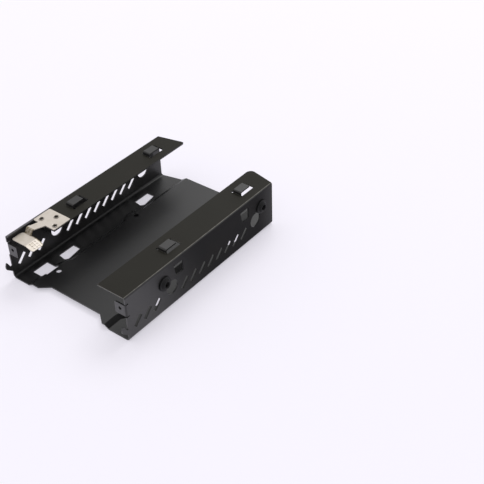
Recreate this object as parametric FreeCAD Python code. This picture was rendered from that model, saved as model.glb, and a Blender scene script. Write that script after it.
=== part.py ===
import FreeCAD, Part
import math
import os

# Stackable bracket for one 3.5 inch drive: a tray folded from one steel sheet, a leaf latch riveted to one
# flange, and four rubber grommets in keyholes of the side walls. Millimetres, +Z up, open side up.
# X runs across the tray with the latch on -X, Y runs to the rear, and the origin is under the middle.

# The drive that the tray is made for
drive_width = 101.6
drive_height = 26.1
drive_hole_spacing = 101.6
drive_hole_inset = 6.35
drive_gap = 0.15

# Tray sheet
sheet = 1.0
flange_headroom = 5.9
base_bend = 3.0
flange_bend = 1.3
flange_width = 22.6
front_margin = 35.3
rear_margin = 13.1
rear_tongue = 5.0
flange_corner_latch = 1.5
flange_corner_plain = 4.0
recess_depth = 5.5
recess_half = 22.3
recess_slant = 6.9

# Raised middle of the base
panel_rise = 2.2
ramp_half = 35.2
ramp_run = 3.7
bulge_out = 3.3
bulge_half = 6.5
bulge_slant = 5.0
bulge_extra_latch = 5.0
base_hole_radius = 1.9
base_hole_half = 30.2
base_hole_front = 20.1
base_hole_spacing = 77.2

# Stacking tabs on the flanges and the windows that take them
stack_front = 48.0
stack_pitch = 77.6
stack_inset = 11.65
tab_width = 6.4
tab_length = 9.6
tab_lift = 2.5
tab_riser = 0.2
tab_bend = 0.6
tab_side_gap = 1.2
tab_end_gap = 3.7
tab_relief = 1.0
window_length = 14.0
window_flare = 1.8
window_nose = 1.2
window_shoulder = 2.4
window_corner = 1.2
latch_window_inset = 6.9
latch_window_width = 12.5
latch_window_front = 10.8
latch_window_length = 13.2
latch_notch_width = 2.4
latch_notch_length = 2.0

# Slots and keyholes of the side walls
slot_width = 3.3
slot_length = 8.6
slot_lean = 46.0
slot_pitch = 9.0
slot_height = 11.3
slot_first = 9.1
slot_clear_front = 12.1
slot_clear_rear = 12.0
seat_radius = 4.6
keyhole_radius = 5.3
keyhole_along = 6.8
keyhole_rise = 12.3
keyhole_neck = 6.4
slit_width = 1.4
slit_length = 4.0
slit_lean = -43.0
slit_drop = 12.3
slit_offset = 9.3

# Shelves lanced inwards from the side walls
shelf_width = 6.3
shelf_reach = 6.3
shelf_bend = 1.3
shelf_hole = 7.4
shelf_taper = 1.6
shelf_slit = 0.8
shelf_slit_rise = 1.0
shelf_gap = 1.7
shelf_gap_drop = 0.4
shelf_from_front = 10.5
shelf_from_rear = 22.1

# Front ends of the side walls
ear_reach = 9.3
ear_height = 8.8
ear_bottom = 20.5
ear_bend = 1.3
ear_corner = 1.0
ear_hole_radius = 1.25
ear_hole_raise = 0.6
ear_slit = 0.9
ear_slit_depth = 2.6
claw_low = 5.7
claw_reach = 5.0
claw_chin = 4.3
claw_face = 2.3
claw_notch = 4.6
claw_notch_width = 1.2
claw_tip = 8.9
claw_tip_width = 0.8
claw_tip_lean = 0.8
claw_corner = 1.5

# Latch spring
latch_sheet = 0.6
latch_gap_wall = 2.7
latch_front = 22.6
latch_length = 15.1
latch_corner = 1.0
neck_width = 6.8
neck_inset = 4.9
neck_swing = 2.4
neck_taper = 0.9
neck_length = 8.2
step_run = 2.2
step_drop = 3.3
step_bend = 0.6
paddle_length = 9.8
paddle_width = 13.0
paddle_overhang = 1.9
paddle_corner = 1.0
paddle_corner_rear = 3.0
pad_length = 6.8
pad_drop = 2.0
pad_bend = 1.2
pad_corner = 1.8
dimple_width = 1.2
dimple_pitch = 2.2
dimple_rows = 3
dimple_depth = 0.2
rivet_radius = 1.5
rivet_bore = 1.0
rivet_head_radius = 2.0
rivet_head_height = 0.4
rivet_from_outer = 4.0
rivet_from_inner = 3.0
rivet_from_front = 3.7
rivet_from_rear = 4.0

# Grommets
grommet_radius = 5.2
grommet_bore = 1.9
grommet_outer_lip = 1.0
grommet_inner_lip = 1.3
grommet_boss_foot = 3.9
grommet_boss_tip = 3.0
grommet_boss_height = 1.6

# Clearances: between a piece and its seat, between a stacking tab and its window, past a face for a cut, and
# the length by which a bent strip runs back into the sheet that it grows from
seat_clearance = 0.05
stack_clearance = 0.25
cut_margin = 2.0
root_overlap = 1.0

# Places that follow from the sizes above
inner_width = drive_width + 2 * (drive_gap + grommet_inner_lip + seat_clearance)
half_width = inner_width / 2 + sheet
tray_length = front_margin + drive_hole_spacing + rear_margin
front_y = -tray_length / 2
rear_y = tray_length / 2
tongue_y = rear_y + rear_tongue
panel_top = panel_rise + sheet
shelf_floor = panel_top + drive_height + 2 * drive_gap
tray_height = shelf_floor + flange_headroom
flange_edge = half_width - flange_width
flange_floor = tray_height - sheet
grommet_ys = (front_y + front_margin, rear_y - rear_margin)
grommet_z = panel_top + drive_gap + drive_height - drive_hole_inset
keyhole_ys = (grommet_ys[0] + keyhole_along, grommet_ys[1] - keyhole_along)
keyhole_z = panel_top + keyhole_rise
base_hole_ys = (front_y + base_hole_front, front_y + base_hole_front + base_hole_spacing)
stack_ys = (front_y + stack_front, front_y + stack_front + stack_pitch)
stack_x = half_width - stack_inset
shelf_ys = (grommet_ys[0] + shelf_from_front, grommet_ys[1] - shelf_from_rear)
cut_span = half_width + cut_margin

V = FreeCAD.Vector
X_AXIS = V(1, 0, 0)
Y_AXIS = V(0, 1, 0)
Z_AXIS = V(0, 0, 1)


def prism(points, direction):
    """Solid of a straight-sided outline pushed along a vector."""
    return Part.Face(Part.makePolygon(points + [points[0]])).extrude(direction)


def block(low, high):
    """Box between two opposite corners, in either order."""
    lows = [min(pair) for pair in zip(low, high)]
    highs = [max(pair) for pair in zip(low, high)]
    return Part.makeBox(*(b - a for a, b in zip(lows, highs)), V(*lows))


def rounded(solid, radius, chosen):
    """Solid with the edges that the test chooses rounded off."""
    return solid.makeFillet(radius, [edge for edge in solid.Edges if chosen(edge)])


def edge_at(**places):
    """Test for a straight edge whose ends all lie at the given coordinates, such as x=1.0, y=2.0."""
    def chosen(edge):
        ends = [vertex.Point for vertex in edge.Vertexes]
        return len(ends) == 2 and all(abs(getattr(end, axis) - place) < seat_clearance
                                      for end in ends for axis, place in places.items())
    return chosen


def bent_strip(points, radius, thickness, place, push):
    """Folded strip: a centre line with one radius at its bends, given a thickness and pushed sideways.

    The points are pairs in the plane of the section, place turns such a pair into a place in space, and the
    radius is that of the outer face of a bend.
    """
    middle = radius - thickness / 2
    left, right = [], []
    flat = [V(u, v, 0) for u, v in points]
    start = flat[0]
    for before, corner, after in zip(flat, flat[1:], flat[2:] + [None]):
        along = (corner - before).normalize()
        side = V(-along.y, along.x, 0)
        stop = corner
        if after:
            onward = (after - corner).normalize()
            turn = math.atan2(along.cross(onward).z, along.dot(onward))
            pull = middle * math.tan(abs(turn) / 2)
            stop = corner - along * pull
        for edges, shift in ((left, thickness / 2), (right, -thickness / 2)):
            edges.append(Part.makeLine(place(start + side * shift), place(stop + side * shift)))
        if after:
            start = corner + onward * pull
            inward = (onward - along).normalize()
            hub = corner + inward * (middle / math.cos(turn / 2))
            for edges, shift in ((left, thickness / 2), (right, -thickness / 2)):
                reach = middle - math.copysign(shift, turn * shift)
                spots = [hub + (spot - hub).normalize() * reach for spot in (stop, corner, start)]
                edges.append(Part.Arc(*(place(spot) for spot in spots)).toShape())
    caps = [Part.makeLine(left[end].Vertexes[end].Point, right[end].Vertexes[end].Point) for end in (0, -1)]
    return Part.Face(Part.Wire(Part.__sortEdges__(left + right + caps))).extrude(push)


def side_walls():
    """Flat base, side walls and flanges: a rounded tube with its middle taken out of the top."""
    outer = block((-half_width, front_y, 0), (half_width, tongue_y, tray_height))
    inner = block((-half_width + sheet, front_y, sheet), (half_width - sheet, tongue_y, flange_floor))
    for side in (-1, 1):
        outer = rounded(outer, base_bend, edge_at(x=side * half_width, z=0))
        outer = rounded(outer, flange_bend, edge_at(x=side * half_width, z=tray_height))
        inner = rounded(inner, base_bend - sheet, edge_at(x=side * (half_width - sheet), z=sheet))
        inner = rounded(inner, flange_bend - sheet, edge_at(x=side * (half_width - sheet), z=flange_floor))
    mouth = block((-flange_edge, front_y, flange_floor - cut_margin),
                  (flange_edge, tongue_y, tray_height + cut_margin))
    return outer.cut([inner, mouth])


def ramp_line(inward, extra):
    """Points of one side of the raised panel at one level, front to rear, bulged round the base holes."""
    near = ramp_half - inward
    far = near + bulge_out
    points = []
    for hole_y, longer in zip(base_hole_ys, (extra, 0)):
        inner = bulge_half - bulge_slant / 2
        outer = bulge_half + bulge_slant / 2
        points += [(near, hole_y - outer), (far, hole_y - inner),
                   (far, hole_y + inner + longer), (near, hole_y + outer + longer)]
    return points + [(near, tongue_y)]


def ramp_outline(inward, height):
    """Outline of the raised panel at one level. Beside the latch its first bulge starts at the front edge."""
    right = [(ramp_half - inward, front_y)] + ramp_line(inward, 0)
    left = [(ramp_half - inward + bulge_out, front_y)] + ramp_line(inward, bulge_extra_latch)[2:]
    points = [V(x, y, height) for x, y in right] + [V(-x, y, height) for x, y in reversed(left)]
    return Part.makePolygon(points + [points[0]])


def mound(level):
    """Flat-topped mound of the raised panel's form, standing at one level."""
    return Part.makeLoft([ramp_outline(0, level), ramp_outline(ramp_run, level + panel_rise)], True, True)


def rear_slant(side):
    """Cutter that takes the rear corner of one side off, from the tongue to the wall."""
    behind = tongue_y + cut_margin
    outline = [(flange_edge, tongue_y), (half_width, rear_y), (cut_span, rear_y), (cut_span, behind),
               (flange_edge, behind)]
    return prism([V(side * x, y, -cut_margin) for x, y in outline], Z_AXIS * (tray_height + 2 * cut_margin))


def front_recess():
    """Cutter for the drawn-back middle of the base's front edge."""
    wide = recess_half + recess_slant
    back = front_y + recess_depth
    ahead = front_y - cut_margin
    outline = [(-wide, front_y), (-recess_half, back), (recess_half, back), (wide, front_y), (wide, ahead),
               (-wide, ahead)]
    return prism([V(x, y, -cut_margin) for x, y in outline], Z_AXIS * (panel_top + 2 * cut_margin))


def stack_window(side, y):
    """Cutter for a window of the base: as wide as a stacking tab behind, flared and rounded in front."""
    outer = stack_x + tab_width / 2 + stack_clearance
    inner = stack_x - tab_width / 2 - stack_clearance
    nose = y - window_length
    outline = [(outer, y), (inner, y), (inner - window_flare, nose + window_shoulder - window_nose),
               (inner, nose - window_nose), (outer, nose)]
    cutter = prism([V(side * x, v, -cut_margin) for x, v in outline], Z_AXIS * (panel_top + 2 * cut_margin))
    for x, v in outline[2:4]:
        cutter = rounded(cutter, window_corner, edge_at(x=side * x, y=v))
    return cutter


def latch_window():
    """Cutter for the large window under the latch, across the ramp of the base, with one notched corner."""
    outer = -half_width + latch_window_inset
    inner = outer + latch_window_width
    near = front_y + latch_window_front
    far = near + latch_window_length
    step_x = inner - latch_notch_width
    step_y = near + latch_notch_length
    outline = [(outer, near), (step_x, near), (step_x, step_y), (inner, step_y), (inner, far), (outer, far)]
    return prism([V(x, y, -cut_margin) for x, y in outline], Z_AXIS * (panel_top + 2 * cut_margin))


def base_hole(side, y):
    """Cutter for a small hole of the raised panel."""
    start = V(side * base_hole_half, y, -cut_margin)
    return Part.makeCylinder(base_hole_radius, panel_top + 2 * cut_margin, start)


def slanted_bar(length, width, lean, y, z, low, high):
    """Bar along X with a slanted oblong section, as a cutter for the walls."""
    bar = block((low, -length / 2, -width / 2), (high, length / 2, width / 2))
    bar.rotate(V(0, 0, 0), X_AXIS, lean)
    return bar.translated(V(0, y, z))


def slot_places():
    """Y of each slot: a short row in front of the keyholes and a long row between them."""
    places = []
    for first, last in ((front_y + slot_first, keyhole_ys[0] - slot_clear_rear),
                        (keyhole_ys[0] + slot_clear_front, keyhole_ys[1] - slot_clear_rear)):
        count = int((last - first) // slot_pitch) + 1
        places += [first + slot_pitch * index for index in range(count)]
    return places


def wall_slot(y):
    """Cutter for one slanted slot, through both walls."""
    return slanted_bar(slot_length, slot_width, slot_lean, y, slot_height, -cut_span, cut_span)


def wall_slit():
    """Cutter for the short slit of the latch-side wall, near the flange."""
    y = (grommet_ys[0] + grommet_ys[1]) / 2 - slit_offset
    return slanted_bar(slit_length, slit_width, slit_lean, y, tray_height - slit_drop,
                       -cut_span, -half_width + sheet + cut_margin)


def keyhole(seat_y, wide_y):
    """Cutter for a keyhole through both walls: the grommet's seat, the wide end and the neck between them."""
    start = V(-cut_span, seat_y, grommet_z)
    stop = V(-cut_span, wide_y, keyhole_z)
    across = (stop - start).cross(X_AXIS).normalize() * (keyhole_neck / 2)
    through = X_AXIS * (2 * cut_span)
    seat = Part.makeCylinder(seat_radius, 2 * cut_span, start, X_AXIS)
    wide = Part.makeCylinder(keyhole_radius, 2 * cut_span, stop, X_AXIS)
    neck = prism([start + across, start - across, stop - across, stop + across], through)
    return seat.fuse([wide, neck])


def shelf_cut(y):
    """Cutter for the hole of a lanced shelf, in both walls: tapered below, with a slit beside its bend."""
    front = y - shelf_slit
    rear = y + shelf_width + shelf_gap
    low = shelf_floor - shelf_hole
    gap_top = shelf_floor + shelf_bend - shelf_gap_drop
    slit_top = shelf_floor + shelf_bend + shelf_slit_rise
    outline = [(front + shelf_taper, low), (rear, low), (rear, gap_top), (y + shelf_width, gap_top),
               (y + shelf_width, slit_top), (front, slit_top), (front, shelf_floor)]
    return prism([V(-cut_span, v, z) for v, z in outline], X_AXIS * (2 * cut_span))


def shelf(side, y):
    """Shelf lanced from a wall: its strip comes down the wall, turns inwards and tapers to its end."""
    wall = side * (half_width - sheet / 2)
    level = shelf_floor + sheet / 2
    top = shelf_floor + shelf_bend + shelf_slit_rise + root_overlap
    root = side * (half_width - shelf_bend)
    tip = side * (half_width - sheet - shelf_reach)
    strip = bent_strip([(wall, top), (wall, level), (tip, level)], shelf_bend, sheet,
                       lambda p: V(p.x, y, p.y), Y_AXIS * shelf_width)
    taper = [V(root, y, shelf_floor), V(tip, y + shelf_taper, shelf_floor), V(tip, y, shelf_floor)]
    return strip.cut(prism(taper, Z_AXIS * sheet))


def stack_hole(side, y):
    """Cutter for the hole round a stacking tab, with a round relief beside the tab's root."""
    near = stack_x - tab_width / 2 - tab_side_gap
    far = stack_x + tab_width / 2 + tab_side_gap
    low = flange_floor - cut_margin
    high = tray_height + cut_margin
    hole = block((side * near, y, low), (side * far, y + tab_length + tab_end_gap, high))
    beside = stack_x - tab_width / 2 - tab_relief
    relief = Part.makeCylinder(tab_relief, high - low, V(side * beside, y, low))
    return hole.fuse(relief)


def stack_tab(side, y):
    """Stacking tab: a riser at the front of its hole and a tongue that reaches to the rear."""
    low = tray_height - sheet / 2
    line = [(y - tab_riser - root_overlap, low), (y, low), (y + tab_riser, low + tab_lift),
            (y + tab_length, low + tab_lift)]
    left = side * stack_x - tab_width / 2
    return bent_strip(line, tab_bend + sheet / 2, sheet, lambda p: V(left, p.x, p.y), X_AXIS * tab_width)


def ear_gap(side):
    """Cutter that frees an ear from its wall, with a slit above and below."""
    return block((side * (half_width - sheet - cut_margin), front_y - cut_margin, ear_bottom - ear_slit),
                 (side * cut_span, front_y + ear_slit_depth, ear_bottom + ear_height + ear_slit))


def ear(side):
    """Screw ear: the front end of a wall turned inwards, with a hole for a screw."""
    wall = side * (half_width - sheet / 2)
    face = front_y + sheet / 2
    tip = side * (half_width - ear_reach)
    line = [(wall, front_y + ear_slit_depth + root_overlap), (wall, face), (tip, face)]
    strip = bent_strip(line, ear_bend, sheet, lambda p: V(p.x, p.y, ear_bottom), Z_AXIS * ear_height)
    for z in (ear_bottom, ear_bottom + ear_height):
        strip = rounded(strip, ear_corner, edge_at(x=tip, z=z))
    spot = V(side * (half_width - (ear_reach + sheet / 2) / 2), front_y - cut_margin,
             ear_bottom + ear_height / 2 + ear_hole_raise)
    return strip.cut(Part.makeCylinder(ear_hole_radius, sheet + 2 * cut_margin, spot, Y_AXIS))


def claw(side):
    """Hook in the plane of a wall, in front of it, with its tip turned up."""
    tip_y = front_y - claw_reach
    chin_z = claw_low + claw_chin
    notch_z = claw_low + claw_notch
    tip_z = claw_low + claw_tip
    root_y = front_y + root_overlap
    outline = [(root_y, claw_low), (front_y, claw_low), (tip_y, chin_z), (tip_y, chin_z + claw_face),
               (tip_y + claw_tip_lean, tip_z), (tip_y + claw_tip_lean + claw_tip_width, tip_z),
               (front_y - claw_notch_width, notch_z), (root_y, notch_z)]
    low_x = min(side * half_width, side * (half_width - sheet))
    hook = prism([V(low_x, y, z) for y, z in outline], X_AXIS * sheet)
    return rounded(hook, claw_corner, edge_at(y=tip_y, z=chin_z))


def latch_cut():
    """Cutter that takes the latch-side flange away in front of the latch, down to a narrow lip."""
    return block((-half_width + latch_gap_wall, front_y - cut_margin, flange_floor - cut_margin),
                 (-flange_edge + cut_margin, front_y + latch_front, tray_height + cut_margin))


def rivet_places():
    """Places of the three latch rivets in plan."""
    outer = -half_width + latch_gap_wall + rivet_from_outer
    inner = -flange_edge - rivet_from_inner
    front = front_y + latch_front + rivet_from_front
    rear = front_y + latch_front + latch_length - rivet_from_rear
    return [(outer, front), (inner, front), ((outer + inner) / 2, rear)]


def rivet_hole(x, y):
    """Cutter for a rivet hole through flange and latch."""
    return Part.makeCylinder(rivet_radius + seat_clearance, sheet + latch_sheet + 2 * cut_margin,
                             V(x, y, flange_floor - cut_margin))


def make_tray():
    """The folded tray, in one piece."""
    tray = side_walls().fuse(mound(sheet)).cut(mound(0))
    cutters = [front_recess(), latch_window(), latch_cut(), wall_slit()]
    cutters += [wall_slot(y) for y in slot_places()]
    cutters += [keyhole(seat_y, wide_y) for seat_y, wide_y in zip(grommet_ys, keyhole_ys)]
    cutters += [shelf_cut(y) for y in shelf_ys]
    cutters += [rivet_hole(x, y) for x, y in rivet_places()]
    for side in (-1, 1):
        cutters += [rear_slant(side), ear_gap(side)]
        cutters += [stack_window(side, y) for y in stack_ys]
        cutters += [stack_hole(side, y) for y in stack_ys]
        cutters += [base_hole(side, y) for y in base_hole_ys]
    tray = tray.cut(cutters)
    for side, radius in ((-1, flange_corner_latch), (1, flange_corner_plain)):
        corner = edge_at(x=side * flange_edge, y=tongue_y)
        tray = rounded(tray, radius, lambda edge: corner(edge) and edge.BoundBox.ZMin > tray_height / 2)
    for side in (-1, 1):
        tray = tray.fuse([ear(side), claw(side)])
        tray = tray.fuse([stack_tab(side, y) for y in stack_ys])
        tray = tray.fuse([shelf(side, y) for y in shelf_ys])
    return tray.removeSplitter()


def latch_plate():
    """Riveted plate of the latch and the neck that leaves its front edge."""
    outer = -half_width + latch_gap_wall
    front = front_y + latch_front
    rear = front + latch_length
    root = outer + neck_inset
    tip = root - neck_swing
    outline = [(outer, front), (outer, rear), (-flange_edge, rear), (-flange_edge, front),
               (root + neck_width, front), (tip + neck_width - neck_taper, front - neck_length),
               (tip, front - neck_length), (root, front)]
    plate = prism([V(x, y, tray_height) for x, y in outline], Z_AXIS * latch_sheet)
    for x, y in outline[:4]:
        plate = rounded(plate, latch_corner, edge_at(x=x, y=y))
    return plate


def make_latch():
    """Latch spring: riveted plate, neck, step down, paddle and dimpled finger pad, in one piece."""
    tip = -half_width + latch_gap_wall + neck_inset - neck_swing
    step_y = front_y + latch_front - neck_length
    paddle_rear = step_y - step_run
    paddle_front = paddle_rear - paddle_length
    high = tray_height + latch_sheet / 2
    low = high - step_drop
    step_line = [(step_y + step_run, high), (step_y, high), (paddle_rear, low), (paddle_rear - step_run, low)]
    step = bent_strip(step_line, step_bend + latch_sheet / 2, latch_sheet, lambda p: V(tip, p.x, p.y),
                      X_AXIS * (neck_width - neck_taper))
    paddle_outer = tip - paddle_overhang
    bend_x = paddle_outer + paddle_width
    pad_run = math.sqrt(pad_length ** 2 - pad_drop ** 2)
    pad_x = bend_x + pad_run
    paddle = bent_strip([(paddle_outer, low), (bend_x, low), (pad_x, low - pad_drop)], pad_bend, latch_sheet,
                        lambda p: V(p.x, paddle_front, p.y), Y_AXIS * paddle_length)
    paddle = rounded(paddle, paddle_corner, edge_at(x=paddle_outer, y=paddle_front))
    paddle = rounded(paddle, paddle_corner_rear, edge_at(x=paddle_outer, y=paddle_rear))
    paddle = rounded(paddle, pad_corner, lambda edge: edge.BoundBox.XMin > pad_x - latch_sheet
                     and edge.BoundBox.YLength < seat_clearance)
    normal = V(pad_drop, 0, pad_run).normalize()
    slope = V(pad_run, 0, -pad_drop).normalize()
    centre = V(bend_x, (paddle_front + paddle_rear) / 2, low) + slope * (pad_length / 2)
    floor = centre + normal * (latch_sheet / 2 - dimple_depth)
    offsets = [(index - (dimple_rows - 1) / 2) * dimple_pitch for index in range(dimple_rows)]
    half = dimple_width / 2
    square = [(-half, -half), (half, -half), (half, half), (-half, half)]
    cutters = [prism([floor + slope * (u + du) + Y_AXIS * (v + dv) for du, dv in square], normal * cut_margin)
               for u in offsets for v in offsets]
    cutters += [rivet_hole(x, y) for x, y in rivet_places()]
    return latch_plate().fuse([step, paddle]).cut(cutters).removeSplitter()


def turned(outline, place, axis):
    """Solid turned from an outline of radius and height pairs, about an axis through a place."""
    points = [V(radius, 0, height) for radius, height in outline]
    face = Part.Face(Part.makePolygon(points + [points[0]]))
    solid = face.revolve(V(0, 0, 0), Z_AXIS, 360)
    solid.Placement = FreeCAD.Placement(place, FreeCAD.Rotation(Z_AXIS, axis))
    return solid


def make_rivet(x, y):
    """Tubular rivet through latch and flange, its ends rolled over into sloping heads."""
    grip = sheet + latch_sheet
    outline = [(rivet_bore, -rivet_head_height), (rivet_head_radius, 0), (rivet_radius, 0),
               (rivet_radius, grip), (rivet_head_radius, grip), (rivet_bore, grip + rivet_head_height)]
    return turned(outline, V(x, y, flange_floor), Z_AXIS)


def make_grommet(side, y):
    """Rubber grommet: two lips, a groove that takes the wall, and a boss bored for the drive's screw."""
    groove = seat_radius - seat_clearance
    low = -sheet - seat_clearance
    high = seat_clearance
    face = high + grommet_outer_lip
    tip = face + grommet_boss_height
    outline = [(grommet_bore, low - grommet_inner_lip), (grommet_radius, low - grommet_inner_lip),
               (grommet_radius, low), (groove, low), (groove, high), (grommet_radius, high),
               (grommet_radius, face), (grommet_boss_foot, face), (grommet_boss_tip, tip),
               (grommet_bore, tip)]
    return turned(outline, V(side * half_width, y, grommet_z), X_AXIS * side)


def main():
    """Builds every piece and writes one file for each."""
    pieces = {
        "tray": make_tray(),
        "latch_spring": make_latch(),
        "latch_rivets": Part.makeCompound([make_rivet(x, y) for x, y in rivet_places()]),
    }
    for side, side_name in ((-1, "latch"), (1, "plain")):
        for y, end_name in zip(grommet_ys, ("front", "rear")):
            pieces[f"grommet_{side_name}_{end_name}"] = make_grommet(side, y)
    os.makedirs("parts", exist_ok=True)
    for name, shape in pieces.items():
        print(f"{name}: {len(shape.Solids)} solids, valid {shape.isValid()}, volume {shape.Volume:.1f}")
        print(f"    {shape.BoundBox}")
        shape.exportStep(f"parts/{name}.step")


main()
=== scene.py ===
"""Looks of a stackable drive bracket: a coated steel tray, a plated latch spring and four rubber grommets.

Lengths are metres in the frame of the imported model: X across the tray with the latch on -X, Y to the rear
and Z up. Sizes of fine detail are written in millimetres times MM.
"""
import logging
import math
from dataclasses import dataclass
from enum import Enum
from typing import Any, Callable, Sequence, Union

import bmesh
import bpy
from mathutils import Matrix, Vector


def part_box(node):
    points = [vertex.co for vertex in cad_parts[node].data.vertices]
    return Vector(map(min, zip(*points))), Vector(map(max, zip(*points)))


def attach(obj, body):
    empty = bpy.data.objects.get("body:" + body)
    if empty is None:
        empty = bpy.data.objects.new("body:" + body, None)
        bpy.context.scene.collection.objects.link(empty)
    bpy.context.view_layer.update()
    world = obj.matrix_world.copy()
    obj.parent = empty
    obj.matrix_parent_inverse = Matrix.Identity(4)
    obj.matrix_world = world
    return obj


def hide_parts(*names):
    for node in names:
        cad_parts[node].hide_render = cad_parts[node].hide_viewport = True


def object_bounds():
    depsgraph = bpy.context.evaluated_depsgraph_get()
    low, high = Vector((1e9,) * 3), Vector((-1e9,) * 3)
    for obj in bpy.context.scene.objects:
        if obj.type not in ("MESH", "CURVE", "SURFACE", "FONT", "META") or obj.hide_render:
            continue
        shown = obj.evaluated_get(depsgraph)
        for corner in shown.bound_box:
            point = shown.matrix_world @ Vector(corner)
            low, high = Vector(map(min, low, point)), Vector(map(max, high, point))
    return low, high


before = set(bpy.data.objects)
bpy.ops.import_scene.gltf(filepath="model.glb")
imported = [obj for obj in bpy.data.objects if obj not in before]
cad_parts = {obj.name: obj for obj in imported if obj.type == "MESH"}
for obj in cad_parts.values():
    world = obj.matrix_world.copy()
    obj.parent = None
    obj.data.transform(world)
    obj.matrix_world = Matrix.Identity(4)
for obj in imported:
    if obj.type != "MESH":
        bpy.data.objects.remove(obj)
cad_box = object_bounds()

MM = 0.001
PICTURE_SIDE = 484
log = logging.getLogger("bracket")

Colour = tuple[float, float, float]
# The two values between which a mask rises from 0 to 1.
Span = tuple[float, float]
Sockets = dict[str | int, Any]


class Slot(Enum):
    """Names of material slots in the record for the rivets and the grommets."""

    RIVET_STEEL = "rivet_steel"
    GROMMET_RUBBER = "grommet_rubber"


class Side(Enum):
    """The two side walls, with the direction in which each one faces along X."""

    LATCH = -1
    PLAIN = 1


class Axis(Enum):
    """Axes along which a zone of a finish is measured, by their number."""

    Y = 1
    Z = 2


class End(Enum):
    """Ends of a turned piece, with the direction of each one along Z."""

    UPPER = 1
    LOWER = -1


class Element(Enum):
    """Kinds of mesh element that are picked."""

    FACE = "FACE"
    EDGE = "EDGE"


class Value:
    """A number that varies over a surface: an output that takes part in Python expressions."""

    def __init__(self, shader: "Shader", output: bpy.types.NodeSocket) -> None:
        """Keeps the shader and the output socket."""
        self.shader = shader
        self.output = output

    def joined(self, operation: str, first: "Operand", second: "Operand") -> "Value":
        """Adds one Math node.

        Args:
            operation: Blender's name of the operation.
            first: Left operand.
            second: Right operand.

        Returns:
            The result of the operation.
        """
        node = self.shader.node("ShaderNodeMath", {"operation": operation}, {0: first, 1: second})
        return Value(self.shader, node.outputs[0])

    def __add__(self, other: "Operand") -> "Value":
        """Sum."""
        return self.joined("ADD", self, other)

    def __radd__(self, other: "Operand") -> "Value":
        """Sum with a plain number on the left."""
        return self.joined("ADD", other, self)

    def __sub__(self, other: "Operand") -> "Value":
        """Difference."""
        return self.joined("SUBTRACT", self, other)

    def __rsub__(self, other: "Operand") -> "Value":
        """Difference with a plain number on the left."""
        return self.joined("SUBTRACT", other, self)

    def __mul__(self, other: "Operand") -> "Value":
        """Product."""
        return self.joined("MULTIPLY", self, other)

    def __rmul__(self, other: "Operand") -> "Value":
        """Product with a plain number on the left."""
        return self.joined("MULTIPLY", other, self)

    def __abs__(self) -> "Value":
        """Size without its sign."""
        return self.joined("ABSOLUTE", self, 0.0)


Operand = Union[Value, float]


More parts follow.
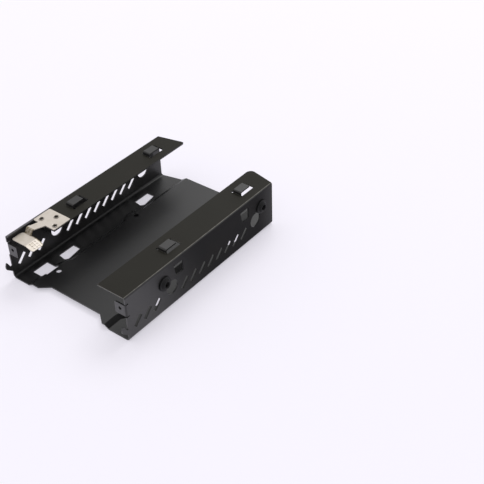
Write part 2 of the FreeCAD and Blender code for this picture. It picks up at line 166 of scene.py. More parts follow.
class Shader:
    """One material's node tree, ended by a Principled surface."""

    EDGE_SAMPLES = 6
    HOLLOW_SAMPLES = 8
    NOISE_MIDDLE = 0.5

    # Socket numbers of a Mix node that mixes colours, whose names aren't unique.
    MIX_SHARE = 0
    MIX_FIRST = 6
    MIX_SECOND = 7
    MIX_RESULT = 2

    def __init__(self, name: str) -> None:
        """Makes an empty material.

        Args:
            name: Name of the material.
        """
        self.material = bpy.data.materials.new(name)
        self.material.use_nodes = True
        self.tree = self.material.node_tree
        self.tree.nodes.clear()

    def node(self, kind: str, settings: dict[str, Any] | None = None,
             sockets: Sockets | None = None) -> bpy.types.Node:
        """Adds any node.

        Args:
            kind: Blender's type name of the node.
            settings: Properties of the node, which are set first.
            sockets: Values or links of its inputs, by name or number.

        Returns:
            The node.
        """
        made = self.tree.nodes.new(kind)
        for name, setting in (settings or {}).items():
            setattr(made, name, setting)
        for name, given in (sockets or {}).items():
            if isinstance(given, Value):
                self.tree.links.new(given.output, made.inputs[name])
            else:
                made.inputs[name].default_value = given
        return made

    def place(self) -> Value:
        """Place on the piece in metres, as a vector."""
        return Value(self, self.node("ShaderNodeTexCoord").outputs["Object"])

    def normal(self) -> Value:
        """Direction in which the surface faces, as a vector."""
        return Value(self, self.node("ShaderNodeNewGeometry").outputs["Normal"])

    def parts(self, vector: Value) -> tuple[Value, Value, Value]:
        """X, Y and Z of a vector."""
        made = self.node("ShaderNodeSeparateXYZ", None, {0: vector}).outputs
        return Value(self, made[0]), Value(self, made[1]), Value(self, made[2])

    def stretched(self, vector: Value, scale: Sequence[float]) -> Value:
        """Place multiplied by a factor along each axis, so that a pattern on it is stretched."""
        made = self.node("ShaderNodeMapping", {"vector_type": "POINT"}, {"Vector": vector, "Scale": scale})
        return Value(self, made.outputs[0])

    def noise(self, vector: Value, size: float, detail: float = 2.0) -> Value:
        """Soft random pattern.

        Args:
            vector: Place that the pattern follows.
            size: Size of its patches in metres.
            detail: Number of finer layers.

        Returns:
            A value from 0 to 1, mostly near the middle.
        """
        made = self.node("ShaderNodeTexNoise", None, {"Vector": vector, "Scale": 1 / size, "Detail": detail})
        return Value(self, made.outputs[0])

    def rise(self, value: Operand, low: float, high: float) -> Value:
        """Smooth step from 0 at the low value to 1 at the high one."""
        made = self.node("ShaderNodeMapRange", {"interpolation_type": "SMOOTHSTEP"},
                         {"Value": value, "From Min": low, "From Max": high})
        return Value(self, made.outputs[0])

    def band(self, value: Operand, low: float, high: float, soft: float) -> Value:
        """Mask of the values between two limits, with soft ends."""
        return self.rise(value, low - soft, low) * (1 - self.rise(value, high, high + soft))

    def patchy(self, mask: Value, patches: Value, least: float) -> Value:
        """Mask that stays whole on patches and falls to a least share of itself between them."""
        return mask * (least + patches * (1 - least))

    def blend(self, share: Operand, first: Any, second: Any) -> Value:
        """Colour between two colours or colour values.

        Args:
            share: Share of the second one.
            first: Colour at share 0.
            second: Colour at share 1.

        Returns:
            The mixed colour.
        """
        ends = [end if isinstance(end, Value) else (*end, 1.0) for end in (first, second)]
        sockets = {self.MIX_SHARE: share, self.MIX_FIRST: ends[0], self.MIX_SECOND: ends[1]}
        made = self.node("ShaderNodeMix", {"data_type": "RGBA"}, sockets)
        return Value(self, made.outputs[self.MIX_RESULT])

    def edges(self, radius: float) -> tuple[Value, Value]:
        """Sharp edges of the piece.

        Args:
            radius: How far from an edge its rounding reaches, in metres.

        Returns:
            The normal rounded over the edges, and a mask that grows towards them.
        """
        bevel = self.node("ShaderNodeBevel", {"samples": self.EDGE_SAMPLES}, {"Radius": radius})
        rounded = Value(self, bevel.outputs[0])
        level = self.node("ShaderNodeVectorMath", {"operation": "DOT_PRODUCT"},
                          {0: rounded, 1: self.normal()})
        return rounded, 1 - Value(self, level.outputs["Value"])

    def looked_at(self) -> Value:
        """Tells rays that show the surface from rays that only carry its light.

        Returns:
            1 for rays from the lens, from a mirror or through glass, and 0 for others.
        """
        path = self.node("ShaderNodeLightPath").outputs
        names = ("Is Camera Ray", "Is Glossy Ray", "Is Transmission Ray")
        camera, mirror, glass = (Value(self, path[name]) for name in names)
        return camera + mirror + glass

    def hollows(self, reach: float) -> Value:
        """Mask of the piece's own hollows and inner corners.

        Args:
            reach: How far a facing surface may be, in metres.

        Returns:
            A value that grows from 0 in the open to 1 deep inside.
        """
        settings = {"samples": self.HOLLOW_SAMPLES, "only_local": True}
        made = self.node("ShaderNodeAmbientOcclusion", settings, {"Distance": reach})
        return 1 - Value(self, made.outputs["AO"])

    def bump(self, height: Value, depth: float, strength: float, under: Value | None = None) -> Value:
        """Normal with a relief.

        Args:
            height: Relief from 0 to 1.
            depth: Height in metres that 1 stands for.
            strength: Share of the relief that shows.
            under: Normal of a coarser relief below this one.

        Returns:
            The normal.
        """
        sockets: Sockets = {"Height": height, "Distance": depth, "Strength": strength}
        if under is not None:
            sockets["Normal"] = under
        return Value(self, self.node("ShaderNodeBump", None, sockets).outputs[0])

    def surface(self, sockets: Sockets, other: Sockets | None = None,
                share: Operand = 0.0) -> bpy.types.Material:
        """Ends the tree with a Principled surface.

        Args:
            sockets: Its inputs by name.
            other: Inputs of a second surface, if one is mixed in.
            share: Share of the second surface.

        Returns:
            The finished material.
        """
        body = self.node("ShaderNodeBsdfPrincipled", None, sockets)
        if other is not None:
            second = self.node("ShaderNodeBsdfPrincipled", None, other)
            mixed = self.node("ShaderNodeMixShader", None, {0: share})
            self.tree.links.new(body.outputs[0], mixed.inputs[1])
            self.tree.links.new(second.outputs[0], mixed.inputs[2])
            body = mixed
        end = self.node("ShaderNodeOutputMaterial")
        self.tree.links.new(body.outputs[0], end.inputs[0])
        return self.material


@dataclass(frozen=True)
class SheetPlaces:
    """Heights and distances on the tray at which its finish changes."""

    base_top: float
    flange_top: float
    flange_bottom: float
    strip_x: float
    strip_end: float
    wall_x: float
    dull_start: float
    dull_full: float
    tail_start: float
    tail_full: float


class TrayZones:
    """Masks of the tray's zones, by the place and the direction of its surface."""

    SOFT = 0.25 * MM
    FACING_UP: Span = (0.90, 0.99)
    FACING_FRONT: Span = (0.80, 0.95)

    # The painted highlight lines on the plain flange, measured from the top of the flanges and the outer
    # face of the wall.
    END_HEIGHT: Span = (-0.65 * MM, -0.45 * MM)
    BEND_HEIGHT: Span = (-0.20 * MM, -0.08 * MM)
    BEND_ACROSS: Span = (-1.20 * MM, -0.95 * MM)

    # The walls' dull rear: how fast its border moves back from the top down, and what the tail takes off.
    DULL_SLANT = 0.5
    TAIL_SHARE = 0.55

    def __init__(self, shader: Shader, places: SheetPlaces) -> None:
        """Works all masks out.

        Args:
            shader: Shader of the coat.
            places: Where the flanges, walls and ends are.
        """
        self.shader = shader
        self.places = places
        self.x, self.y, self.z = shader.parts(shader.place())
        _, facing_rear, facing_up = shader.parts(shader.normal())
        front = shader.rise(facing_rear * -1.0, *self.FACING_FRONT)
        below_flange = 1 - shader.rise(self.z, places.flange_bottom - self.SOFT, places.flange_bottom)
        self.wall = shader.rise(abs(self.x), places.wall_x - self.SOFT, places.wall_x)
        self.base = (1 - self.past(self.z, places.base_top)) * (1 - self.wall)
        self.ear = front * below_flange
        self.riser = front * self.past(self.z, places.flange_top)
        self.flange, self.lip = self.flange_masks(shader.rise(facing_up, *self.FACING_UP))
        self.dull = self.dull_mask()
        self.highlight_lines = self.highlight_line_mask(front)

    def past(self, value: Value, limit: float) -> Value:
        """Mask of the values beyond a limit."""
        return self.shader.rise(value, limit, limit + self.SOFT)

    def beyond(self, value: Value, limit: float, span: Span) -> Value:
        """Mask that rises over a span that is measured from a limit."""
        return self.shader.rise(value, limit + span[0], limit + span[1])

    def flange_masks(self, level: Value) -> tuple[Value, Value]:
        """Parts the flanges at the latch.

        Args:
            level: Mask of the surfaces that face up.

        Returns:
            The flanges' tops, and the narrow strip of flange beside the latch.
        """
        across = (-self.SOFT, self.SOFT)
        beside = 1 - self.beyond(self.x, self.places.strip_x, across)
        strip = beside * (1 - self.beyond(self.y, self.places.strip_end, across))
        low, high = self.places.flange_bottom, self.places.flange_top
        flange = self.shader.band(self.z, low, high + self.SOFT, self.SOFT) * level * (1 - strip)
        return flange, strip * self.shader.rise(self.z, low, high)

    def dull_mask(self) -> Value:
        """Finds the rear of the walls, where the coat has lost its gloss.

        Returns:
            A mask that rises over a slanted border and falls a little again towards the walls' end.
        """
        slanted = self.y + (self.z - self.places.flange_top) * self.DULL_SLANT
        rear = self.shader.rise(slanted, self.places.dull_start, self.places.dull_full)
        tail = self.shader.rise(self.y, self.places.tail_start, self.places.tail_full)
        return self.wall * rear * (1 - tail * self.TAIL_SHARE)

    def highlight_line_mask(self, front: Value) -> Value:
        """Finds where highlight lines are painted.

        Args:
            front: Mask of the surfaces that face the front.

        Returns:
            A mask of the plain flange's front edge and bend.
        """
        top = self.places.flange_top
        plain = self.past(self.x, 0.0)
        end = front * self.beyond(self.z, top, self.END_HEIGHT) * plain * (1 - self.riser)
        bend = self.beyond(self.x, self.places.wall_x, self.BEND_ACROSS)
        return end + bend * self.beyond(self.z, top, self.BEND_HEIGHT)


@dataclass(frozen=True)
class PowderCoat:
    """Semi-gloss black powder coat on sheet: fine grain, orange peel, painted shade on the base and the
    olive flange tops, edge wear with painted highlight, and painted highlight lines.
    """

    colour: Colour = (0.0125, 0.0125, 0.013)
    patch_colour: Colour = (0.016, 0.0155, 0.015)
    # Painted shade on the base panel inside the tray.
    base_shade_colour: Colour = (0.006, 0.006, 0.0065)
    # Painted shade, darker and olive, on the flange tops.
    flange_shade_colour: Colour = (0.0155, 0.0145, 0.0105)
    # Lighter sharp edges: edge wear and painted highlight.
    edge_wear_and_highlight_colour: Colour = (0.034, 0.034, 0.035)
    # Painted highlight on the flange strip beside the latch.
    lip_highlight_colour: Colour = (0.075, 0.070, 0.080)
    # Painted highlight lines on the plain flange's front edge and bend.
    highlight_line_colour: Colour = (0.155, 0.147, 0.125)
    edge_wear_and_highlight_least: float = 0.4
    lip_highlight_least: float = 0.6
    highlight_line_least: float = 0.5
    roughness: float = 0.42
    patch_roughness: float = 0.10
    flange_roughness: float = 0.14
    specular: float = 0.14
    coat_roughness: float = 0.40
    coat: float = 0.66
    ear_coat: float = 1.0
    wall_coat: float = 0.76
    dull_coat: float = 0.10
    flange_coat: float = 0.02
    flat_share: float = 0.66
    grain: float = 0.30 * MM
    grain_strength: float = 0.12
    peel: float = 1.6 * MM
    peel_strength: float = 0.25
    relief: float = 0.02 * MM
    patch: float = 22.0 * MM
    patch_span: Span = (0.35, 0.70)
    spot: float = 3.0 * MM
    spot_span: Span = (0.35, 0.60)
    edge: float = 0.30 * MM
    edge_span: Span = (0.04, 0.22)

    def material(self, places: SheetPlaces) -> bpy.types.Material:
        """Makes the coat.

        Args:
            places: Where the flanges, walls and ends are.

        Returns:
            The material.
        """
        shader = Shader("black_powder_coat")
        zones = TrayZones(shader, places)
        vector = shader.place()
        patches = shader.noise(vector, self.patch, detail=4.0)
        rounded, edge = shader.edges(self.edge)
        normal = shader.bump(shader.noise(vector, self.peel), self.relief, self.peel_strength, rounded)
        grain = shader.noise(vector, self.grain, detail=1.0)
        uneven = patches * self.patch_roughness + zones.flange * self.flange_roughness
        shared: Sockets = {
            "Base Color": self.tint(shader, zones, patches, edge),
            "Roughness": self.roughness + uneven,
            "Normal": shader.bump(grain, self.relief, self.grain_strength, normal),
        }
        glossy = {
            **shared, "Specular IOR Level": self.specular,
            "Coat Weight": self.gloss(zones), "Coat Roughness": self.coat_roughness,
        }
        flat = {**shared, "Specular IOR Level": 0.0}
        return shader.surface(glossy, flat, zones.dull * self.flat_share)

    def tint(self, shader: Shader, zones: TrayZones, patches: Value, edge: Value) -> Value:
        """Mixes the colour of the coat, with its painted shade and painted highlights.

        Args:
            shader: Shader of the coat.
            zones: Masks of the tray's zones.
            patches: Broad uneven pattern.
            edge: Mask of the sharp edges.

        Returns:
            The colour.
        """
        spots = shader.rise(shader.noise(shader.place(), self.spot, detail=3.0), *self.spot_span)
        edge_wear_and_highlight = shader.rise(edge, *self.edge_span)
        colour = shader.blend(shader.rise(patches, *self.patch_span), self.colour, self.patch_colour)
        # Painted shade: the base panel inside the tray is darker.
        colour = shader.blend(zones.base, colour, self.base_shade_colour)
        # Painted shade: the flange tops are darker and olive.
        colour = shader.blend(zones.flange, colour, self.flange_shade_colour)
        # Lighter sharp edges in patches: edge wear and painted highlight.
        colour = shader.blend(shader.patchy(edge_wear_and_highlight, spots, self.edge_wear_and_highlight_least), colour, self.edge_wear_and_highlight_colour)
        # Painted highlight, in patches, on the narrow flange strip beside the latch.
        colour = shader.blend(shader.patchy(zones.lip, spots, self.lip_highlight_least), colour, self.lip_highlight_colour)
        # Painted highlight lines, in patches, on the plain flange's front edge and bend.
        return shader.blend(shader.patchy(zones.highlight_lines, spots, self.highlight_line_least), colour, self.highlight_line_colour)

    def gloss(self, zones: TrayZones) -> Value:
        """Weighs the clear gloss by zone.

        Args:
            zones: Masks of the tray's zones.

        Returns:
            The weight, from 0 to 1.
        """
        coat = self.coat + zones.wall * (self.wall_coat - self.coat)
        coat = coat - zones.dull * (self.wall_coat - self.dull_coat)
        coat = coat + zones.ear * (self.ear_coat - self.coat)
        return (coat - zones.flange * (coat - self.flange_coat)) * (1 - zones.riser)


@dataclass(frozen=True)
class PlatedSteel:
    """Thin nickel-plated steel with faint rolling lines along Y, with painted shade in one zone and in its
    own hollows.
    """

    name: str
    colour: Colour = (0.61, 0.56, 0.50)
    stain_colour: Colour = (0.55, 0.50, 0.43)
    # Colour of the painted shade.
    dark_colour: Colour = (0.22, 0.18, 0.115)
    metallic: float = 0.60
    roughness: float = 0.40
    line_roughness: float = 0.16
    stain_roughness: float = 0.08
    line: float = 0.16 * MM
    line_stretch: float = 0.03
    line_strength: float = 0.35
    relief: float = 0.006 * MM
    stain: float = 7.0 * MM
    stain_span: Span = (0.45, 0.75)
    blotch: float = 1.3 * MM
    blotch_span: Span = (0.38, 0.58)
    dark_least: float = 0.45
    # Painted shade in the hollows: how far it reaches, where it rises and how strong it is.
    hollow_shade: float = 0.6 * MM
    hollow_shade_span: Span = (0.03, 0.40)
    hollow_shade_share: float = 0.7

    def material(self, axis: Axis, low: float, high: float, soft: float) -> bpy.types.Material:
        """Makes the metal.

        Args:
            axis: Axis along which the dark zone is measured.
            low: Start of the dark zone.
            high: End of the dark zone.
            soft: Length over which it fades.

        Returns:
            The material.
        """
        shader = Shader(self.name)
        vector = shader.place()
        lines = shader.noise(shader.stretched(vector, (1.0, self.line_stretch, 1.0)), self.line)
        stains = shader.noise(vector, self.stain, detail=3.0)
        blotches = shader.rise(shader.noise(vector, self.blotch), *self.blotch_span)
        # Painted shade: a zone along one axis is darkened, in patches.
        dark = shader.band(shader.parts(vector)[axis.value], low, high, soft)
        # Painted shade in the piece's own hollows and inner corners.
        hollow_shade = shader.rise(shader.hollows(self.hollow_shade), *self.hollow_shade_span)
        colour = shader.blend(shader.rise(stains, *self.stain_span), self.colour, self.stain_colour)
        colour = shader.blend(shader.patchy(dark, blotches, self.dark_least), colour, self.dark_colour)
        colour = shader.blend(hollow_shade * self.hollow_shade_share, colour, self.dark_colour)
        uneven = (lines - shader.NOISE_MIDDLE) * self.line_roughness + stains * self.stain_roughness
        return shader.surface({
            "Base Color": colour, "Metallic": self.metallic, "Roughness": self.roughness + uneven,
            "Normal": shader.bump(lines, self.relief, self.line_strength),
        })


@dataclass(frozen=True)
class MouldedRubber:
    """Matt black rubber with a grainy mould finish and a faint grey bloom."""

    colour: Colour = (0.0055, 0.0055, 0.006)
    bloom_colour: Colour = (0.012, 0.012, 0.0125)
    roughness: float = 0.55
    bloom_roughness: float = 0.18
    specular: float = 0.22
    bloom: float = 3.5 * MM
    bloom_span: Span = (0.45, 0.80)
    grain: float = 0.25 * MM
    grain_strength: float = 0.30
    relief: float = 0.03 * MM

    def material(self) -> bpy.types.Material:
        """Makes the rubber.

        Returns:
            The material.
        """
        shader = Shader("grommet_rubber")
        vector = shader.place()
        bloom = shader.rise(shader.noise(vector, self.bloom, detail=4.0), *self.bloom_span)
        grain = shader.noise(vector, self.grain)
        return shader.surface({
            "Base Color": shader.blend(bloom, self.colour, self.bloom_colour),
            "Roughness": self.roughness + bloom * self.bloom_roughness,
            "Specular IOR Level": self.specular,
            "Normal": shader.bump(grain, self.relief, self.grain_strength),
        })


@dataclass(frozen=True)
class PaperSweep:
    """Pale paper for the floor, shown a little lighter than it is lit, so that its shadows stay light."""

    colour: Colour = (0.55, 0.536, 0.582)
    # Colour of the painted shadow under the raised panel.
    painted_shadow_colour: Colour = (0.06, 0.058, 0.062)
    glow_colour: Colour = (0.945, 0.92, 1.0)
    glow: float = 0.425
    roughness: float = 0.9
    specular: float = 0.1
    cover_half: float = 36.0 * MM
    cover_front: float = -42.0 * MM
    cover_rear: float = 74.0 * MM
    cover_soft: float = 2.0 * MM

    def material(self) -> bpy.types.Material:
        """Makes the paper, with a painted shadow and no glow where the raised panel covers it.

        Returns:
            The material.
        """
        shader = Shader("pale_paper")
        x, y, _ = shader.parts(shader.place())
        # Painted shadow: the paper under the raised panel is dark and does not glow.
        covered = shader.band(x, -self.cover_half, self.cover_half, self.cover_soft)
        covered = covered * shader.band(y, self.cover_front, self.cover_rear, self.cover_soft)
        glow = shader.looked_at() * (1 - covered)
        return shader.surface({
            "Base Color": shader.blend(covered, self.colour, self.painted_shadow_colour),
            "Roughness": self.roughness, "Specular IOR Level": self.specular,
            "Emission Color": shader.blend(glow, (0.0, 0.0, 0.0), self.glow_colour),
            "Emission Strength": self.glow,
        })


def deselect_all() -> None:
    """Leaves edit mode and selects nothing."""
    if bpy.context.object and bpy.context.object.mode != "OBJECT":
        bpy.ops.object.mode_set(mode="OBJECT")
    bpy.ops.object.select_all(action="DESELECT")


def dress(node: str, material: bpy.types.Material) -> None:
    """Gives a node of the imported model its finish.

    Args:
        node: Name of the node.
        material: The finish.
    """
    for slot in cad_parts[node].material_slots:
        slot.material = material
    log.info("dressed %s in %s", node, material.name)


class Turning:
    """A new round piece on the Z axis, shaped in edit mode from a cylinder."""

    FACING_END = 0.9
    NEAR_AXIS = 0.001 * MM
    NEAR_RIM = 0.004 * MM
    SMOOTH_ANGLE = math.radians(38.0)

    def __init__(self, name: str, radius: float, low: float, high: float, sides: int) -> None:
        """Adds the cylinder and enters edit mode.

        Args:
            name: Name of the piece.
            radius: Radius of the cylinder.
            low: Height of its lower end.
            high: Height of its upper end.
            sides: Number of its side faces.
        """
        deselect_all()
        bpy.ops.mesh.primitive_cylinder_add(vertices=sides, radius=radius, depth=high - low,
                                            location=(0.0, 0.0, (low + high) / 2))
        self.piece = bpy.context.object
        self.piece.name = name
        bpy.ops.object.transform_apply(location=True, rotation=False, scale=False)
        self.ends = {End.UPPER: (radius, high), End.LOWER: (radius, low)}
        bpy.ops.object.mode_set(mode="EDIT")

    def pick(self, kind: Element, passes: Callable[[Any], bool]) -> None:
        """Selects by place or direction.

        Args:
            kind: Whether faces or edges are selected.
            passes: Test that a selected face or edge passes.
        """
        bpy.ops.mesh.select_mode(type=kind.value)
        bpy.ops.mesh.select_all(action="DESELECT")
        mesh = bmesh.from_edit_mesh(self.piece.data)
        for item in (mesh.faces if kind is Element.FACE else mesh.edges):
            if passes(item):
                item.select_set(True)
        bmesh.update_edit_mesh(self.piece.data)

    def draw_end(self, end: End, steps: Sequence[tuple[float, float]]) -> None:
        """Extrudes one end through a row of rims and leaves it open.

        Args:
            end: The end to shape.
            steps: Radius and height of each rim in turn.
        """
        def is_end(face: Any) -> bool:
            """Whether a face is the end: it faces along the axis and is centred on it."""
            centred = face.calc_center_median().xy.length < self.NEAR_AXIS
            return centred and face.normal.z * end.value > self.FACING_END

        radius, height = self.ends[end]
        self.pick(Element.FACE, is_end)
        for rim, level in steps:
            bpy.ops.mesh.extrude_region_move(TRANSFORM_OT_translate={"value": (0.0, 0.0, level - height)})
            share = rim / radius
            bpy.ops.transform.resize(value=(share, share, 1.0), center_override=(0.0, 0.0, level))
            radius, height = rim, level
        bpy.ops.mesh.delete(type="FACE")

    def bridge_bore(self) -> None:
        """Joins the two open ends by the wall of a bore."""
        bpy.ops.mesh.select_mode(type=Element.EDGE.value)
        bpy.ops.mesh.select_all(action="DESELECT")
        bpy.ops.mesh.select_non_manifold()
        bpy.ops.mesh.bridge_edge_loops()

    def round_rims(self, rims: Sequence[tuple[float, float]], offset: float, segments: int) -> None:
        """Rounds rims that lie at given places.

        Args:
            rims: Radius and height of each rim.
            offset: Width that the rounding takes on each side.
            segments: Number of its steps.
        """
        def at(point: Any, rim: float, level: float) -> bool:
            """Whether a point lies on a rim."""
            return max(abs(point.co.z - level), abs(point.co.xy.length - rim)) < self.NEAR_RIM

        def on_rim(edge: Any) -> bool:
            """Whether both ends of an edge lie on one of the rims."""
            return any(all(at(point, *rim) for point in edge.verts) for rim in rims)

        self.pick(Element.EDGE, on_rim)
        bpy.ops.mesh.bevel(offset=offset, segments=segments, affect="EDGES")

    def finish(self) -> bpy.types.Object:
        """Turns the faces outwards, smooths the piece and leaves edit mode.

        Returns:
            The finished piece.
        """
        bpy.ops.mesh.select_all(action="SELECT")
        bpy.ops.mesh.normals_make_consistent(inside=False)
        bpy.ops.object.mode_set(mode="OBJECT")
        bpy.ops.object.shade_smooth_by_angle(angle=self.SMOOTH_ANGLE)
        return self.piece


def copy_to(pattern: bpy.types.Object, name: str, move: Matrix) -> bpy.types.Object:
    """Copies a piece with a mesh of its own.

    Args:
        pattern: The piece to copy.
        name: Name of the copy.
        move: Turn and place, which go into the copy's mesh.

    Returns:
        The copy.
    """
    made = bpy.data.objects.new(name, pattern.data.copy())
    made.data.name = name
    made.data.transform(move)
    bpy.context.scene.collection.objects.link(made)
    return made


@dataclass
class Tray:
    """The folded tray, kept as packed and coated."""

    sheet: float = 1.0 * MM
    panel_rise: float = 2.2 * MM
    strip: float = 2.5 * MM
    tab_lift: float = 2.5 * MM
    dull_from: float = 4.0 * MM
    dull_length: float = 74.0 * MM
    tail_length: float = 24.0 * MM

    def dress(self) -> None:
        """Coats the tray, with the places of its flanges and walls taken from its box."""
        low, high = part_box("tray")
        top = high.z - self.tab_lift
        start = low.y + self.dull_from
        places = SheetPlaces(
            base_top=low.z + self.panel_rise + self.sheet, flange_top=top, flange_bottom=top - self.sheet,
            strip_x=low.x + self.strip, strip_end=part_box("latch_spring")[1].y, wall_x=high.x,
            dull_start=start, dull_full=start + self.dull_length,
            tail_start=high.y - self.tail_length, tail_full=high.y,
        )
        dress("tray", PowderCoat().material(places))


@dataclass
class Latch:
    """The latch spring and the three tubular rivets that hold it.

    The shares are heights on a rivet's head, from the sheet at 0 to the crest at 1.
    """

    shank: float = 1.45 * MM
    bore: float = 1.20 * MM
    bore_sink: float = 0.10 * MM
    head: float = 2.0 * MM
    head_height: float = 0.4 * MM
    crest: float = 1.84 * MM
    roll: float = 0.12 * MM
    rim_share: float = 0.45
    outer_share: float = 0.85
    inner_share: float = 0.90
    throat_share: float = 0.20
    sides: int = 40
    # Painted shade on the spring's bends: where it starts and ends from the spring's front, and how soft its
    # ends are.
    bend_near: float = 9.4 * MM
    bend_far: float = 12.6 * MM
    bend_soft: float = 0.5 * MM
    # Painted shade on the rivets below their crests: its colour, how far from the ends it starts and how
    # soft its ends are.
    rivet_shade_colour: Colour = (0.07, 0.06, 0.045)
    bore_margin: float = 0.10 * MM
    bore_soft: float = 0.03 * MM

    def build(self) -> bpy.types.Object:
        """Models one rolled rivet, copies it to its three places and joins the copies.

        Returns:
            The rivets as one piece.
        """
        low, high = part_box("latch_rivets")
        grip = high.z - low.z - 2 * self.head_height
        pattern = self.build_rivet(grip)
        base = low.z + self.head_height
        places = ((low.x + self.head, low.y + self.head), (high.x - self.head, low.y + self.head),
                  ((low.x + high.x) / 2, high.y - self.head))
        copies = [copy_to(pattern, f"rolled_rivet_{count}", Matrix.Translation((*place, base)))
                  for count, place in enumerate(places)]
        bpy.data.objects.remove(pattern)
        deselect_all()
        for copy in copies:
            copy.select_set(True)
        bpy.context.view_layer.objects.active = copies[0]
        bpy.ops.object.join()
        rivets = bpy.context.object
        rivets.name = "rolled_rivets"
        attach(rivets, "root")
        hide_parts("latch_rivets")
        log.info("modelled %s", rivets.name)
        return rivets

    def build_rivet(self, grip: float) -> bpy.types.Object:
        """Models a tube whose two ends are rolled outwards.

        Args:
            grip: Thickness that the rivet holds together.

        Returns:
            The rivet, standing on its lower sheet's face at height 0.
        """
        profile = (
            (self.head, 0.0), (self.head, self.rim_share), (self.crest + self.roll, self.outer_share),
            (self.crest, 1.0), (self.crest - self.roll, self.inner_share),
            (self.bore + self.roll, self.throat_share),
        )
        tube = Turning("rolled_rivet", self.shank, 0.0, grip, self.sides)
        for end, face in ((End.UPPER, grip), (End.LOWER, 0.0)):
            rims = [(radius, face + end.value * self.head_height * share) for radius, share in profile]
            tube.draw_end(end, (*rims, (self.bore, face - end.value * self.bore_sink)))
        tube.bridge_bore()
        return tube.finish()

    def dress(self, rivets: bpy.types.Object) -> None:
        """Plates the spring and the rivets, with painted shade at the spring's bends and on the rivets below
        their crests, bores included.

        Args:
            rivets: The modelled rivets.
        """
        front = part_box("latch_spring")[0].y
        plating = PlatedSteel("latch_plating")
        # Painted shade on the spring's bends.
        dress("latch_spring", plating.material(Axis.Y, front + self.bend_near, front + self.bend_far,
                                               self.bend_soft))
        low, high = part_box("latch_rivets")
        # Painted shade on the rivets below their crests, bores included.
        plating = PlatedSteel("rivet_plating", dark_colour=self.rivet_shade_colour)
        rivets.data.materials.clear()
        rivets.data.materials.append(plating.material(Axis.Z, low.z + self.bore_margin,
                                                      high.z - self.bore_margin, self.bore_soft))


@dataclass
class Grommets:
    """The four rubber grommets: a groove for the wall, a lip on each side of it and a domed boss outside."""

    lip: float = 5.2 * MM
    groove: float = 4.55 * MM
    bore: float = 1.9 * MM
    inner_lip: float = 1.3 * MM
    outer_lip: float = 1.0 * MM
    groove_length: float = 1.1 * MM
    boss_foot: float = 3.9 * MM
    boss_tip: float = 3.0 * MM
    mouth: float = 0.45 * MM
    rim_round: float = 0.26 * MM
    rim_steps: int = 4
    foot_steps: int = 3
    sides: int = 64

    def build(self) -> list[bpy.types.Object]:
        """Models one grommet and copies it to the four seats.

        Returns:
            The grommets.
        """
        pattern = self.build_grommet()
        made = []
        for side in Side:
            for end in ("front", "rear"):
                node = f"grommet_{side.name.lower()}_{end}"
                made.append(self.seat(pattern, node, side))
        bpy.data.objects.remove(pattern)
        return made

    def build_grommet(self) -> bpy.types.Object:
        """Models one grommet upright.

        Returns:
            The grommet, with its inner end at height 0 and its boss pointing up.
        """
        low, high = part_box("grommet_plain_front")
        length = high.x - low.x
        groove_low = self.inner_lip
        groove_high = groove_low + self.groove_length
        face = groove_high + self.outer_lip
        body = Turning("moulded_grommet", self.groove, groove_low, groove_high, self.sides)
        body.draw_end(End.UPPER, (
            (self.lip, groove_high), (self.lip, face), (self.boss_foot, face), (self.boss_tip, length),
            (self.bore + self.mouth, length), (self.bore, length - self.mouth),
        ))
        body.draw_end(End.LOWER, (
            (self.lip, groove_low), (self.lip, 0.0), (self.bore + self.mouth, 0.0), (self.bore, self.mouth),
        ))
        body.bridge_bore()
        lips = [(self.lip, level) for level in (0.0, groove_low, groove_high, face)]
        body.round_rims(lips, self.rim_round, self.rim_steps)
        body.round_rims([(self.boss_tip, length)], self.rim_round, self.rim_steps)
        body.round_rims([(self.boss_foot, face)], self.rim_round, self.foot_steps)
        return body.finish()

    def seat(self, pattern: bpy.types.Object, node: str, side: Side) -> bpy.types.Object:
        """Puts a copy of the grommet where a node is.

        Args:
            pattern: The modelled grommet.
            node: Node that the copy stands for.
            side: Wall that it sits in.

        Returns:
            The copy.
        """
        low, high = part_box(node)
        inner = low.x if side is Side.PLAIN else high.x
        turn = Matrix.Rotation(math.radians(90.0 * side.value), 4, "Y")
        seat = Matrix.Translation((inner, (low.y + high.y) / 2, (low.z + high.z) / 2))
        made = copy_to(pattern, f"moulded_{node}", seat @ turn)
        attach(made, "root")
        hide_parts(node)
        log.info("modelled %s", made.name)
        return made

    def dress(self, grommets: Sequence[bpy.types.Object]) -> None:
        """Gives every grommet the same rubber.

        Args:
            grommets: The modelled grommets.
        """
        rubber = MouldedRubber().material()
        for grommet in grommets:
            grommet.data.materials.clear()
            grommet.data.materials.append(rubber)


@dataclass(frozen=True)
class Softbox:
    """A rectangular lamp that faces the middle of the object."""

    name: str
    direction: tuple[float, float, float]
    distance: float
    width: float
    height: float
    radiance: float

    def build(self, target: Vector) -> None:
        """Sets the lamp up.

        Args:
            target: Place that it faces.
        """
        lamp = bpy.data.lights.new(self.name, "AREA")
        lamp.shape = "RECTANGLE"
        lamp.size = self.width
        lamp.size_y = self.height
        lamp.energy = self.radiance * math.pi * self.width * self.height
        away = Vector(self.direction).normalized()
        stand = bpy.data.objects.new(self.name, lamp)
        turn = away.to_track_quat("Z", "Y").to_matrix().to_4x4()
        stand.matrix_world = Matrix.Translation(target + away * self.distance) @ turn
        bpy.context.scene.collection.objects.link(stand)


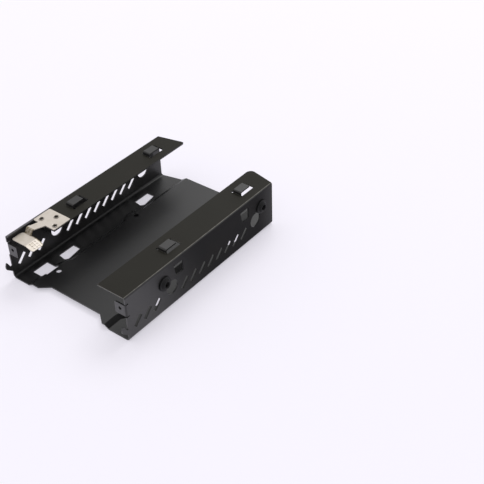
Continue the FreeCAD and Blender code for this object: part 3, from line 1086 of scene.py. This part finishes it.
@dataclass
class Studio:
    """Paper floor, soft light and the camera."""

    floor_side: float = 12.0
    sky: float = 0.80
    sky_colour: Colour = (1.0, 0.99, 1.0)
    key: Softbox = Softbox(name="key_softbox", direction=(-0.15, 0.61, 0.77), distance=2.6,
                           width=1.73, height=1.3, radiance=3.0)
    camera_place: tuple[float, float, float] = (0.3852, -0.3736, 0.4206)
    camera_right: tuple[float, float, float] = (0.7922, 0.6097, -0.0266)
    camera_back: tuple[float, float, float] = (0.4936, -0.6145, 0.6155)
    focal_pixels: float = 973.87
    centre_row: float = 241.0

    def build(self) -> None:
        """Builds floor, light and camera."""
        self.build_floor()
        self.build_light()
        self.build_camera()

    def build_floor(self) -> None:
        """Lays the paper under the object."""
        deselect_all()
        bpy.ops.mesh.primitive_plane_add(size=self.floor_side, location=(0.0, 0.0, 0.0))
        floor = bpy.context.object
        floor.name = "paper_floor"
        floor.data.materials.append(PaperSweep().material())

    def build_light(self) -> None:
        """Sets up an even pale sky and the key lamp."""
        world = bpy.data.worlds.new("studio_sky")
        world.use_nodes = True
        background = world.node_tree.nodes["Background"]
        background.inputs["Color"].default_value = (*self.sky_colour, 1.0)
        background.inputs["Strength"].default_value = self.sky
        bpy.context.scene.world = world
        low, high = cad_box
        self.key.build((Vector(low) + Vector(high)) / 2)

    def build_camera(self) -> None:
        """Places the camera at the photograph's viewing angle."""
        back = Vector(self.camera_back).normalized()
        right = Vector(self.camera_right)
        right = (right - back * right.dot(back)).normalized()
        turn = Matrix((right, back.cross(right), back)).transposed().to_4x4()
        lens = bpy.data.cameras.new("camera")
        lens.sensor_fit = "HORIZONTAL"
        lens.lens = self.focal_pixels / PICTURE_SIDE * lens.sensor_width
        lens.shift_y = (self.centre_row - PICTURE_SIDE / 2) / PICTURE_SIDE
        camera = bpy.data.objects.new("camera", lens)
        camera.matrix_world = Matrix.Translation(self.camera_place) @ turn
        bpy.context.scene.collection.objects.link(camera)
        bpy.context.scene.camera = camera


def main() -> None:
    """Builds the scene in order."""
    logging.basicConfig(level=logging.INFO, format="%(message)s")
    bpy.context.scene.view_settings.view_transform = "Standard"
    Studio().build()
    Tray().dress()
    latch = Latch()
    latch.dress(latch.build())
    grommets = Grommets()
    grommets.dress(grommets.build())


if __name__ == "__main__":
    main()
